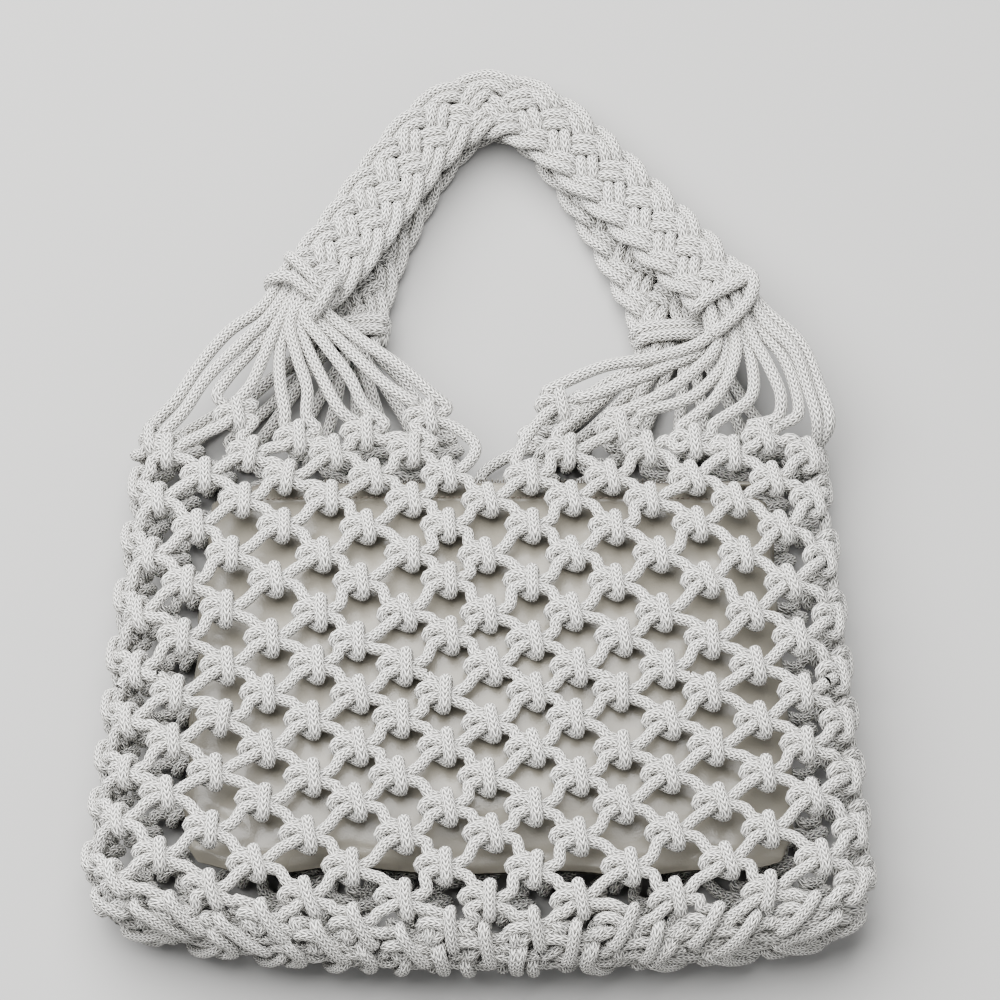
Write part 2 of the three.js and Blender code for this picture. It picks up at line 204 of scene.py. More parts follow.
# Points of a smooth curve through given points, about a step apart, with numbers carried along
def smoothRoute(points, step, extra=None):
    points = np.array(points, float)
    count = len(points)
    gaps = np.maximum(np.sqrt(np.linalg.norm(np.diff(points, axis=0), axis=1)), 1e-4)
    knots = np.concatenate([[0], np.cumsum(gaps)])
    padded = np.vstack([2 * points[0] - points[1], points, 2 * points[-1] - points[-2]])
    times = np.concatenate([[knots[0] - gaps[0]], knots, [knots[-1] + gaps[-1]]])
    made, carried, marks = [], [], []
    for n in range(count - 1):
        p0, p1, p2, p3 = padded[n:n + 4]
        t0, t1, t2, t3 = times[n:n + 4]
        length = np.linalg.norm(p2 - p1)
        steps = max(int(round(length / step)), 1)
        marks.append(len(made))
        for k in range(steps):
            t = t1 + (t2 - t1) * k / steps
            a1 = between(p0, p1, t0, t1, t)
            a2 = between(p1, p2, t1, t2, t)
            a3 = between(p2, p3, t2, t3, t)
            made.append(between(between(a1, a2, t0, t2, t), between(a2, a3, t1, t3, t), t1, t2, t))
            if extra is not None:
                carried.append(lerp(extra[n], extra[n + 1], k / steps))
    marks.append(len(made))
    made.append(points[-1])
    if extra is not None:
        carried.append(extra[-1])
    return np.array(made), np.array(carried), marks


def triangles(mesh):
    return sum(len(p.vertices) - 2 for p in mesh.polygons)


def meshObject(name, points, faces, material, soft=True):
    mesh = bpy.data.meshes.new(name)
    mesh.from_pydata(points, [], faces)
    mesh.polygons.foreach_set("use_smooth", np.full(len(faces), soft))
    mesh.materials.append(material)
    mesh.update()
    made = bpy.data.objects.new(name, mesh)
    scene.collection.objects.link(made)
    return made


# A cord turns its flat side outward where it is pressed: least press, least aim and share per ring
pressLeast = 0.02
aimLeast = 0.3
aimShare = 0.35


# Mesh parts of swept cords, joined into one object at the end
class CordMesh:
    def __init__(self, name):
        self.name = name
        self.points, self.faces, self.uvs = [], [], []
        self.count = 0

    # A tube round a line, with outward hints for the flat side of a pressed cord
    def tube(self, line, diameter, sides, outward=None, press=None, seed=0, along=0, caps=(False, False)):
        line = np.asarray(line, float)
        n = len(line)
        tangent = unitRows(np.gradient(line, axis=0))
        length = along + lengthAlong(line)
        normals = np.zeros((n, 3))
        hint = np.array([0.0, 0.0, 1.0]) if outward is None else outward[0]
        last = hint - tangent[0] * (hint @ tangent[0])
        if np.linalg.norm(last) < 1e-3:
            last = np.cross(tangent[0], [1.0, 0.3, 0.2])
        last = unit(last)
        for k in range(n):
            last = unit(last - tangent[k] * (last @ tangent[k]))
            if outward is not None and press is not None and press[k] > pressLeast:
                aim = outward[k] - tangent[k] * (outward[k] @ tangent[k])
                if np.linalg.norm(aim) > aimLeast:
                    aim = unit(aim)
                    if aim @ last < 0:
                        aim = -aim
                    last = unit(lerp(last, aim, min(press[k], 1) * aimShare))
            normals[k] = last
        across = np.cross(tangent, normals)
        angle = 2 * np.pi * np.arange(sides + 1) / sides
        radius = diameter / 2
        flat = np.zeros(n) if press is None else np.asarray(press)
        wide = radius * lerp(1, netSizes["barWidth"], flat)
        thin = radius * lerp(1, netSizes["barThickness"], flat)
        rings = (line[:, None, :]
                 + np.cos(angle)[None, :, None] * across[:, None, :] * wide[:, None, None]
                 + np.sin(angle)[None, :, None] * normals[:, None, :] * thin[:, None, None])
        self.points.append(rings[:, :sides].reshape(-1, 3))
        ring, side = np.meshgrid(np.arange(n - 1), np.arange(sides), indexing="ij")
        ring, side = ring.ravel(), side.ravel()
        after = (side + 1) % sides
        base = self.count
        this, following = base + ring * sides, base + (ring + 1) * sides
        quads = np.stack([this + side, this + after, following + after, following + side], axis=1)
        self.faces += quads.tolist()
        v = length / diameter + seed
        left, right = side / sides, (side + 1) / sides
        corners = ((left, ring), (right, ring), (right, ring + 1), (left, ring + 1))
        self.uvs.append(np.stack([np.stack([u, v[r]], axis=1) for u, r in corners], axis=1).reshape(-1, 2))
        self.count += n * sides
        if caps[0]:
            self.cap(line[0], base, sides, False, v[0])
        if caps[1]:
            self.cap(line[-1], base + (n - 1) * sides, sides, True, v[-1])

    # A whole cord through some points, closed at both ends
    def cord(self, points, step, diameter, sides, seed):
        self.tube(smoothRoute(points, step)[0], diameter, sides, seed=seed, caps=(True, True))

    def cap(self, centre, base, sides, flip, v):
        self.points.append(np.array([centre]))
        middle = self.count
        self.count += 1
        side = np.arange(sides)
        after = (side + 1) % sides
        first, second = (side, after) if flip else (after, side)
        self.faces += np.stack([base + first, base + second, np.full(sides, middle)], axis=1).tolist()
        level = np.full(sides, v)
        corners = [np.stack([place / sides, level], axis=1) for place in (first, second, first)]
        self.uvs.append(np.stack(corners, axis=1).reshape(-1, 2))

    def make(self, material):
        points = np.concatenate(self.points) * mm
        made = meshObject(self.name, points.tolist(), self.faces, material)
        layer = made.data.uv_layers.new(name="cordUV")
        layer.data.foreach_set("uv", np.concatenate(self.uvs).astype(np.float32).ravel())
        made.data.validate()
        print(self.name, "triangles:", triangles(made.data))
        return made


# shaders

def nodeInput(tree, node, name, value):
    socket = node.inputs[name]
    if isinstance(value, bpy.types.NodeSocket):
        tree.links.new(value, socket)
    else:
        socket.default_value = value


def addNode(tree, kind, **values):
    node = tree.nodes.new(kind)
    for name, value in values.items():
        if name in node.inputs:
            nodeInput(tree, node, name, value)
        else:
            setattr(node, name, value)
    return node


def mathNode(tree, operation, *values):
    node = tree.nodes.new("ShaderNodeMath")
    node.operation = operation
    for n, value in enumerate(values):
        nodeInput(tree, node, n, value)
    return node.outputs[0]


def addSockets(tree, way, names, kind="NodeSocketFloat"):
    for name in names:
        tree.interface.new_socket(name, in_out=way, socket_type=kind)


def mixColour(tree, factor, a, b):
    node = tree.nodes.new("ShaderNodeMix")
    node.data_type = "RGBA"
    nodeInput(tree, node, 0, factor)
    nodeInput(tree, node, 6, a)
    nodeInput(tree, node, 7, b)
    return node.outputs[2]


def rangeNode(tree, value, fromLow, fromHigh, toLow, toHigh):
    node = tree.nodes.new("ShaderNodeMapRange")
    node.clamp = True
    names = ("Value", "From Min", "From Max", "To Min", "To Max")
    for name, given in zip(names, (value, fromLow, fromHigh, toLow, toHigh)):
        nodeInput(tree, node, name, given)
    return node.outputs["Result"]


# A noise or another texture laid on the object's own coordinates
def objectTexture(tree, kind, **values):
    place = tree.nodes.new("ShaderNodeTexCoord")
    texture = addNode(tree, kind, **values)
    tree.links.new(place.outputs["Object"], texture.inputs["Vector"])
    return texture


# A new material with its tree and its shader
def newMaterial(name):
    material = bpy.data.materials.new(name)
    material.use_nodes = True
    return material, material.node_tree, material.node_tree.nodes["Principled BSDF"]


def bumpFrom(tree, shader, height, strength, distance):
    bump = addNode(tree, "ShaderNodeBump", Strength=strength, Distance=distance)
    tree.links.new(height, bump.inputs["Height"])
    tree.links.new(bump.outputs[0], shader.inputs["Normal"])


cordSizes = {
    "wales": 6,
    "courses": 2.3,
    "slant": 2.2,
    "bump": 0.0016,
    "ribPower": 0.6,
    "legPower": 0.5,
    "legShare": 0.55,
    "legFloor": 0.45,
    "holeLow": (0.05, 0.35),
    "holeEdge": (0.02, 0.3),
    "holeEdgeLeast": 0.1,
    "holeShadeShare": 0.97,
    # painted shade: the holes between stitches are coloured nearly black for the shade inside them
    "holeShadeColour": (0.03, 0.027, 0.022, 1),
    "colour": (0.92, 0.905, 0.855, 1),
    "shade": (0.82, 0.8, 0.745, 1),
    "shadeRange": (0.35, 0.68),
    "patchScale": 22,
    # painted shade: the low parts of each stitch are darkened towards this colour
    "valleyShade": (0.3, 0.29, 0.255, 1),
    "valleyShadeShare": 0.78,
    "fibreScale": 1500.0,
    "fibreColour": (0.86, 0.84, 0.8, 1),
    "fibreShare": 0.35,
    "fibreBump": 0.22,
    "surface": {"Roughness": 0.88, "Specular IOR Level": 0.25, "Sheen Weight": 0.25, "Sheen Roughness": 0.5},
}


# Stitches of a knitted cord from its UV: legs of a V in every wale, and the holes between them
def knitGroup():
    tree = bpy.data.node_groups.new("knitStitches", "ShaderNodeTree")
    s = cordSizes

    def calc(operation, *values):
        return mathNode(tree, operation, *values)

    addSockets(tree, "INPUT", ("wales", "courses", "slant"))
    addSockets(tree, "OUTPUT", ("height", "holeShade"))
    given = tree.nodes.new("NodeGroupInput")
    result = tree.nodes.new("NodeGroupOutput")
    uv = addNode(tree, "ShaderNodeUVMap", uv_map="cordUV")
    split = addNode(tree, "ShaderNodeSeparateXYZ", Vector=uv.outputs[0])
    across = calc("MULTIPLY", split.outputs[0], given.outputs["wales"])
    place = calc("FRACT", across)
    fromMiddle = calc("ABSOLUTE", calc("SUBTRACT", place, 0.5))
    lean = calc("MULTIPLY", fromMiddle, given.outputs["slant"])
    along = calc("MULTIPLY_ADD", split.outputs[1], given.outputs["courses"], lean)
    turn = calc("FRACT", along)
    swing = calc("MULTIPLY", calc("SUBTRACT", turn, 0.5), 2 * math.pi)
    rib = calc("MULTIPLY_ADD", calc("COSINE", swing), 0.5, 0.5)
    fromLeg = calc("ABSOLUTE", calc("SUBTRACT", fromMiddle, 0.25))
    fromLeg = calc("MULTIPLY", fromLeg, 4.0)
    legRound = calc("SUBTRACT", 1.0, calc("MULTIPLY", fromLeg, fromLeg))
    legRound = calc("POWER", calc("MAXIMUM", legRound, 0.0), s["legPower"])
    ribTop = calc("POWER", calc("MAXIMUM", rib, 0.0), s["ribPower"])
    legTop = calc("MULTIPLY_ADD", legRound, s["legShare"], s["legFloor"])
    height = calc("MULTIPLY", ribTop, legTop)
    # mask of the holes between stitches, where shade is painted
    low = rangeNode(tree, calc("SUBTRACT", 1.0, rib), *s["holeLow"], 0.0, 1.0)
    edge = calc("SUBTRACT", 1.0, legRound)
    edge = rangeNode(tree, edge, *s["holeEdge"], s["holeEdgeLeast"], 1.0)
    holeShade = calc("MULTIPLY", low, edge)
    tree.links.new(height, result.inputs["height"])
    tree.links.new(holeShade, result.inputs["holeShade"])
    return tree


knit = knitGroup()


def cordMaterial(name):
    s = cordSizes
    material, tree, shader = newMaterial(name)
    group = tree.nodes.new("ShaderNodeGroup")
    group.node_tree = knit
    for key in ("wales", "courses", "slant"):
        group.inputs[key].default_value = s[key]
    patch = objectTexture(tree, "ShaderNodeTexNoise", Scale=s["patchScale"], Detail=3.0, Roughness=0.55)
    fibre = objectTexture(tree, "ShaderNodeTexNoise", Scale=s["fibreScale"], Detail=2.0, Roughness=0.6)
    clean = rangeNode(tree, patch.outputs[0], *s["shadeRange"], 0.0, 1.0)
    base = mixColour(tree, clean, s["shade"], s["colour"])
    share = rangeNode(tree, fibre.outputs[0], 0.3, 0.7, 0.0, s["fibreShare"])
    speck = mixColour(tree, share, base, s["fibreColour"])
    # painted shade in the low parts of the stitches, by their height
    low = mathNode(tree, "SUBTRACT", 1.0, group.outputs["height"])
    valleyShadedYarn = mixColour(tree, mathNode(tree, "MULTIPLY", low, s["valleyShadeShare"]), speck, s["valleyShade"])
    # painted shade in the holes between stitches
    holeShade = mathNode(tree, "MULTIPLY", group.outputs["holeShade"], s["holeShadeShare"])
    tree.links.new(mixColour(tree, holeShade, valleyShadedYarn, s["holeShadeColour"]), shader.inputs["Base Color"])
    height = mathNode(tree, "MULTIPLY_ADD", fibre.outputs[0], s["fibreBump"], group.outputs["height"])
    bumpFrom(tree, shader, height, 1.0, s["bump"])
    for name, value in s["surface"].items():
        shader.inputs[name].default_value = value
    return material


netMaterial = cordMaterial("netCord")
fanMaterial = cordMaterial("fanCord")
plaitMaterial = cordMaterial("plaitedCord")
print("materials made")


# The photo's view, by which the front fans' pixels are read too
cameraSizes = {
    "elevation": 64,
    "distance": 3000,
    "pixelsPerMm": 2.4,
    "sensor": 36,
    "frameWidth": 1000,
    "middleX": 480,
    "middleY": 536.8,
}


# net of knotted cord

halfColumns = netSizes["columns"] // 2


# Each knot wanders and turns a little, and keeps to the net's surface
def knotPlace(column, row):
    s = netSizes
    if row > s["rows"]:
        column, row = s["columns"] - column, 2 * s["rows"] - row
    column = column % s["columns"]
    calm = s["foldCalm"] if row == s["rows"] else 1
    spot = (column * s["wanderScale"], row * s["wanderScale"])
    side = 2 * s["wander"] * drift(1, *spot) * calm
    along = 2 * s["wander"] * drift(2, *spot) * calm
    most = math.radians(s["turn"] if row < s["foldRow"] else s["foldTurn"])
    turn = most * s["turnGain"] * drift(3, column * s["turnScale"], row * s["turnScale"])
    if row < s["rows"]:
        side += shifted(columnShift, column)
    rim = rimShift.get(column, (0, 0)) if row == 0 else (0, 0)
    return column + side + rim[0], row + along + shifted(rowShift, row) + rim[1], turn


def shifted(table, at):
    return float(np.interp(at, list(table), list(table.values())))


# Millimetres of the surface between two columns and between two rows
spacing = {
    "column": (netSizes["widthTop"] + netSizes["thicknessTop"] * (math.pi / 2 - 1)) / halfColumns,
    "row": (netSizes["length"] + bottomArc) / netSizes["rows"],
}


# A point of a knot's own route, bent with the surface round the knot. Knots at the fold are fuller.
def knotPoint(column, row, offset):
    s = netSizes
    baseColumn, baseRow, turn = knotPlace(column, row)
    inward = min(baseColumn % halfColumns, halfColumns - baseColumn % halfColumns)
    atFold = smooth(1 - max(abs(row - s["rows"]) - 1, 0) / s["fullerRows"])
    fuller = 1 + s["foldFuller"] * atFold * smooth(inward / s["fullerColumns"])
    right, up, out = (v * s["cord"] * fuller for v in offset[:3])
    c, n = math.cos(turn), math.sin(turn)
    right, up = right * c - up * n, right * n + up * c
    point, normal = netSurface(baseColumn + right / spacing["column"], baseRow - up / spacing["row"])
    return point + normal * out, normal


def hasKnot(column, row):
    column = column % netSizes["columns"]
    return (column + row) % 2 == 1 and not (row == 1 and column in missingKnots)


# A cord from the rim to the fold: its points, outward directions and presses, and where each belongs
def cordThroughNet(start, slant, route, turned):
    s = netSizes
    made = []
    main = route
    for row in range(0, s["rows"] + 1):
        at = start + slant * row
        route = main
        # beside a missing knot the cord starts on the other route and turns back
        if turned and row == 0:
            at += 2 * slant
            route = wrapRoute if main is coreRoute else coreRoute
        elif not hasKnot(at, row):
            continue
        entry = knotPoint(at, row, route[0])
        if made:
            leave = made[-1][:2]
            for point, share in linkPoints(at, row, slant, row - lastRow, leave, entry):
                made.append((point, unit(lerp(leave[1], entry[1], share)), 0, True, at, row))
        for offset in route:
            made.append((*knotPoint(at, row, offset), offset[3], False, at, row))
        lastRow = row
    return made


# Points between two knots: one that arches up the bag, or three that bow round an open loop
def linkPoints(at, row, slant, gap, leave, arrive):
    s = netSizes
    last, lastNormal = leave
    entry, entryNormal = arrive
    normal = unit(lastNormal + entryNormal)
    up = unit(netSurface(at - slant * 0.5, row - 0.9)[0] - netSurface(at - slant * 0.5, row - 0.4)[0])
    if gap == 1:
        bulge = np.linalg.norm(lastNormal - entryNormal) * s["cord"]
        arch = s["wrapArch"] if slant > 0 else s["coreArch"]
        arch += s["archDrift"] * drift(5, at, row, slant * 3)
        return [((last + entry) / 2 + up * arch * s["cord"] + normal * bulge, 0.5)]
    right = np.cross(up, normal)
    loop = s["wideLoop"] if slant < 0 else -s["narrowLoop"]
    bows = [(share, math.sin(math.pi * share) * s["cord"] * loop) for share in (0.25, 0.5, 0.75)]
    return [(lerp(last, entry, share) + right * bow, share) for share, bow in bows]


def pieceOf(column, row):
    if column % netSizes["columns"] > halfColumns:
        return "net_back"
    return "net_front_upper" if row <= netSizes["upperRows"] else "net_front_lower"


def makeNet():
    s = netSizes
    meshes = {name: CordMesh(name) for name in ("net_front_upper", "net_front_lower", "net_back")}
    starts = [c for c in range(s["columns"]) if hasKnot(c, 0)]
    beforeGap = [c - 1 for c in missingKnots]
    afterGap = [c + 1 for c in missingKnots]
    # both rims start cords: wrapping ones lean right as they go down, core ones lean left
    cords = [(c, 1, wrapRoute, False) for c in starts if c not in beforeGap]
    cords += [(c, -1, coreRoute, False) for c in starts if c not in afterGap]
    cords += [(c, 1, wrapRoute, True) for c in beforeGap] + [(c, -1, coreRoute, True) for c in afterGap]
    for number, (start, slant, route, turned) in enumerate(cords):
        points, outward, press, linked, columns, rows = zip(*cordThroughNet(start, slant, route, turned))
        hints = np.column_stack([outward, press])
        # a new piece of the net starts at the first point of the link that leads to it
        pieces = []
        begin, current = 0, pieceOf(columns[0], rows[0])
        for n in range(len(points)):
            target = pieceOf(columns[n], rows[n])
            if linked[n] and target != current:
                pieces.append((current, begin, n))
                begin, current = n, target
        pieces.append((current, begin, len(points) - 1))
        for piece, first, last in pieces:
            front = piece != "net_back"
            step = s["frontStep"] if front else s["backStep"]
            # some points past both ends are smoothed too, so that the pieces meet in the same ring
            low, high = max(first - s["lap"], 0), min(last + s["lap"], len(points) - 1)
            line, extra, marks = smoothRoute(points[low:high + 1], step, hints[low:high + 1])
            line = line[marks[first - low]:marks[last - low] + 1]
            extra = extra[marks[first - low]:marks[last - low] + 1]
            meshes[piece].tube(
                line, s["cord"], s["frontSides"] if front else s["backSides"],
                extra[:, :3], extra[:, 3], seed=number * s["seedStep"], along=first * s["alongStep"])
    return meshes


netMeshes = makeNet()
for name, cords in netMeshes.items():
    piece = cords.make(netMaterial)
    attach(piece, "root")
    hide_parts("net_body")
print("net made")


# cords of the fans, handles and lashings

handleSizes = {
    "cord": 4.9,
    "sides": 12,
    "step": 1.5,
    "half": 11.5,
    "endShare": 0.92,
    "endLength": 24,
    "rise": 3.0,
    "waveSharp": 1.5,
    "riseDrift": 0.3,
    "driftScale": 0.05,
    "repeat": 17.2,
    "pairGap": 0.49,
    "phase": {"front": 0.4, "back": 1.3},
    "seed": 100,
    "seedStep": 5.3,
}

# The back fans' cords leave the handle level, sag and lie over and under each other by turns
fanSizes = {
    "cord": 5.0,
    "fuller": 1.04,
    "sides": 12,
    "step": 1.5,
    "backLeave": 14,
    "backShares": (0.0, 0.33, 0.66, 0.9),
    "backSag": 2.0,
    "backOver": 1.4,
    "backUnder": 1.2,
    "backWander": 1.5,
    "floorGap": 0.4,
    "seed": 40,
    "seedStep": 7.7,
}

lashingSizes = {
    "step": 1.2,
    "perTurn": 24,
    "backTurns": 2,
    "backWidth": 23,
    "backThickness": 8,
    "backStart": 1.5 * math.pi,
    "fromEnd": 4.5,
    "reach": 0.9,
    "square": 0.45,
    "slant": 5.5,
    "underShare": 0.4,
    "seed": 3,
}

# The handles' middle lines and, at their ends, where each fan starts
handleRoutes = {
    "front": [(-73, 98, 33), (-56, 125, 27), (-42, 150, 22), (-25, 176, 20), (-8, 192, 19.5), (8, 195, 19.5),
              (27, 186, 19.5), (46, 167, 20), (67, 143, 21), (87, 117, 27), (101, 97, 33)],
    "back": [(-54, 96, 12.5), (-49, 121, 9), (-39, 148, 7.5), (-24, 177, 7.5), (-8, 195, 7.5), (8, 200, 7.5),
             (27, 191, 7.5), (43, 170, 7.5), (58, 143, 7.5), (70, 117, 9), (78, 94, 12.5)],
}

# The front fans' cords as pixels of the photo, from the handle to the knot, with a height in mm
frontFans = {
    "left": [
        [(262, 306, 34), (228, 332, 35), (198, 368, 35), (176, 402, 34)],
        [(272, 312, 36), (240, 345, 37), (206, 380, 36), (185, 412, 34)],
        [(276, 320, 33), (254, 348, 34), (228, 378, 34), (218, 396, 34)],
        [(277, 324, 36), (266, 352, 37), (252, 385, 36), (240, 402, 34)],
        [(286, 322, 34), (280, 350, 35), (281, 385, 35), (286, 414, 34)],
        [(290, 322, 37), (297, 355, 38), (308, 390, 37), (308, 418, 34)],
        [(297, 318, 34), (306, 345, 35), (322, 378, 35), (342, 412, 34)],
        [(304, 314, 37), (324, 343, 38), (350, 378, 37), (366, 408, 34)],
        [(312, 312, 34), (345, 346, 35), (385, 384, 35), (414, 404, 34)],
        [(324, 308, 36), (358, 338, 36), (402, 368, 36), (434, 396, 34)],
    ],
    "right": [
        [(712, 335, 39.5), (694, 346, 38), (655, 358, 37), (606, 366, 36), (562, 384, 35)],
        [(708, 344, 34), (664, 368, 35), (618, 386, 35), (583, 398, 34)],
        [(716, 346, 37), (700, 366, 38), (662, 394, 37), (622, 412, 34)],
        [(726, 346, 34), (722, 366, 35), (690, 398, 35), (640, 414, 34)],
        [(736, 346, 37), (730, 372, 38), (712, 402, 37), (692, 418, 34)],
        [(744, 342, 34), (752, 366, 35), (750, 398, 35), (712, 426, 34)],
        [(752, 336, 37), (768, 366, 38), (780, 398, 37), (776, 418, 34)],
        [(758, 328, 34), (782, 356, 35), (794, 388, 35), (796, 416, 34)],
        [(764, 320, 37), (793, 350, 38), (806, 385, 36), (816, 422, 33)],
        [(766, 310, 35), (800, 342, 35), (818, 385, 34), (828, 424, 32)],
    ],
}

# The front lashings the same way
frontLashings = {
    "left": [(300, 290, 27), (322, 298, 26.5), (331, 293, 32), (321, 287, 39), (306, 270, 41),
             (294, 259, 39.5), (288, 256, 33), (292, 268, 26.5), (312, 290, 25.5), (326, 303, 31),
             (318, 298, 38.5), (304, 287, 40.5), (291, 277, 40.5), (279, 276, 39), (270, 279, 35),
             (269, 286, 30), (282, 294, 25.5), (310, 297, 25.5), (332, 296, 29), (337, 286, 35),
             (333, 283, 40), (325, 297, 44), (317, 310, 41), (311, 318, 36)],
    "right": [(712, 318, 27), (697, 313, 32), (699, 305, 38.5), (716, 293, 40.5), (738, 282, 41),
              (750, 277, 38), (755, 284, 31), (742, 296, 26), (726, 286, 25.5), (728, 270, 31),
              (742, 268, 37.5), (754, 278, 41), (751, 296, 42), (739, 312, 42), (725, 325, 41),
              (712, 335, 39.5), (700, 343, 38)],
}


def fromPixel(x, y, height):
    tilt = math.radians(cameraSizes["elevation"])
    across = (x - cameraSizes["middleX"]) / cameraSizes["pixelsPerMm"]
    up = (cameraSizes["middleY"] - y) / cameraSizes["pixelsPerMm"]
    return np.array([across, (up - height * math.cos(tilt)) / math.sin(tilt), height]) + frameShift


# Height of a strand of a flat plait of five, over one crossing and under the next
def plaitWave(turn):
    t = (turn / (math.pi / 5)) % 10
    stops = [0, 1, -1, 1, -1, 0, 1, -1, 1, -1, 0]
    low = int(t)
    wave = lerp(stops[low], stops[low + 1], 0.5 - 0.5 * math.cos(math.pi * (t - low)))
    return math.tanh(handleSizes["waveSharp"] * wave) / math.tanh(handleSizes["waveSharp"])


# Along a handle: its points, directions and level directions across
def handleFrames(route):
    line = smoothRoute(np.array(route, float) + frameShift, 1.0)[0]
    tangent = unitRows(np.gradient(line, axis=0))
    across = unitRows(np.cross(tangent, [0.0, 0.0, 1.0]))
    return line, tangent, across


def plaitCords(route, phase):
    s = handleSizes
    line, tangent, across = handleFrames(route)
    up = np.cross(across, tangent)
    length = lengthAlong(line)
    period = 5 * s["repeat"]
    cords = []
    for strand in range(5):
        for side in (-1, 1):
            points = []
            for n in range(0, len(line), 2):
                turn = 2 * math.pi * (length[n] / period + strand / 5) + phase
                fromEnd = min(length[n], length[-1] - length[n])
                reach = s["half"] * lerp(s["endShare"], 1, smooth(fromEnd / s["endLength"]))
                tilt = math.atan(-reach * math.sin(turn) * 2 * math.pi / period)
                aside = side * s["cord"] * s["pairGap"]
                x = reach * math.cos(turn) + aside * math.cos(tilt)
                along = -aside * math.sin(tilt)
                z = s["rise"] * plaitWave(turn)
                z += s["riseDrift"] * drift(9 + strand, length[n] * s["driftScale"])
                points.append(line[n] + across[n] * x + tangent[n] * along + up[n] * z)
            cords.append(points)
    return cords


# A back lashing's winding round a handle's end
def lashingRoute(centre, out, across, up, slant):
    s = lashingSizes
    reach = fanSizes["cord"] / 2 + s["reach"]
    points = []
    for n in range(int(s["perTurn"] * s["backTurns"]) + 1):
        angle = 2 * math.pi * (n / s["perTurn"]) + s["backStart"]
        c, q = math.cos(angle), math.sin(angle)
        square = max(abs(c), abs(q)) ** s["square"]
        under = 1 if q > 0 else s["underShare"]
        distance = s["fromEnd"] + fanSizes["cord"] * n / s["perTurn"] + slant * c * under
        points.append(centre + out * distance + across * (s["backWidth"] / 2 + reach) * c / square
                      + up * (s["backThickness"] / 2 + reach) * q / square)
    return points


def makeHandle(side):
    s = handleSizes
    mesh = CordMesh("handle_" + side)
    cords = plaitCords(handleRoutes[side], s["phase"][side])
    for n, points in enumerate(cords):
        mesh.cord(points, s["step"], s["cord"], s["sides"], n * s["seedStep"] + s["seed"])
    piece = mesh.make(plaitMaterial)
    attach(piece, "root")
    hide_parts("handle_" + side)
    return cords


# The way of a back fan's cord from the plait to its knot
def backWay(n, start, out, finish):
    s = fanSizes
    leave = start[-1] + out * s["backLeave"]
    over = s["backOver"] if n % 2 else -s["backUnder"]
    way = []
    for share in s["backShares"]:
        p = lerp(leave, finish, share)
        rise = -s["backSag"] * math.sin(math.pi * share) + over * (1 - share)
        p[2] = max(p[2] + rise, s["cord"] / 2 + s["floorGap"])
        p[0] += s["backWander"] * drift(30 + n, share * 2)
        way.append(p)
    return way


def makeFan(side, end, plait):
    s = fanSizes
    mesh = CordMesh(f"fan_{side}_{end}")
    front = side == "front"
    left = end == "left"
    line, tangent, across = handleFrames(handleRoutes[side])
    at = 0 if left else -1
    out = tangent[at] * (-1 if left else 1)
    # cords of the plait that end here, in order from left to right
    ends = [np.array(cord[2::-1] if left else cord[-3:]) for cord in plait]
    ends.sort(key=lambda points: points[-1][0])
    for n, start in enumerate(ends):
        if front:
            column = 2 * (n // 2) + (1 if left else 11)
        else:
            column = (39 if left else 29) - 2 * (n // 2)
        # seen from its own side of the bag, the cord on the left is the wrapping one
        wrapping = n % 2 == (0 if front else 1)
        finish = [knotPoint(column, 0, offset)[0] for offset in (wrapRoute if wrapping else coreRoute)[:2]]
        if front:
            middle = [fromPixel(*p) for p in frontFans[end][n]]
        else:
            middle = backWay(n, start, out, finish[0])
        # the front right fan's first cord goes on from the lashing
        points = (middle if front and not left and n == 0 else list(start) + middle) + finish
        mesh.cord(points, s["step"], s["cord"] * s["fuller"], s["sides"], n * s["seedStep"] + s["seed"])
    piece = mesh.make(fanMaterial)
    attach(piece, "root")
    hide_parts(f"fan_{side}_{end}")

    wrap = CordMesh(f"lashing_{side}_{end}")
    level = across[at] if across[at][0] > 0 else -across[at]
    above = np.cross(out, level)
    above = above if above[2] > 0 else -above
    if front:
        route = [fromPixel(*p) for p in frontLashings[end]]
    else:
        route = lashingRoute(line[at], out, level, above, lashingSizes["slant"] * (-1 if left else 1))
    wrap.cord(route, lashingSizes["step"], s["cord"] * s["fuller"], s["sides"], lashingSizes["seed"])
    piece = wrap.make(fanMaterial)
    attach(piece, "root")
    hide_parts(f"lashing_{side}_{end}")


for side in ("front", "back"):
    plait = makeHandle(side)
    for end in ("left", "right"):
        makeFan(side, end, plait)
print("handles, fans and lashings made")


# pouch of leather-look sheet, with its zip

pouchSizes = {
    "width": 246,
    "length": 176,
    "thickness": 26,
    "topFromRim": 23,
    "mouthHeight": 21,
    "middleHeight": 27.4,
    "shift": 4,
    "round": 0.8,
    "ease": 0.03,
    "edgeShare": 0.25,
    "frontLift": 1.8,
    "frontLiftShare": 0.2,
    "around": 260,
    "down": 150,
    "bandDown": 8.2,
    "bandRise": 0.45,
    "hemWave": 5,
    "hemWaveLong": 38,
    "hemCorner": 6,
    "mouthCorner": 7,
    "mouthCornerFrom": 86,
    "mouthCornerLong": 28,
    "mouthShare": 0.14,
    "wrinkle": 1.9,
    "softWave": 1.2,
    "fineWave": 0.45,
    "crease": 0.9,
    "creaseSharp": 3.2,
    "pucker": 0.8,
    "crush": 1.3,
    "crushFrom": 55,
    "crushLong": 60,
    "crushShare": 0.72,
    "crushShareLong": 0.25,
    "calmTop": 0.12,
    "calmFoot": 0.03,
}

# How far each row of the turned-in lip lies below the mouth's edge and inward of it
lipRows = ((-0.2, 0.5), (0.5, 1.4), (3.0, 1.6))

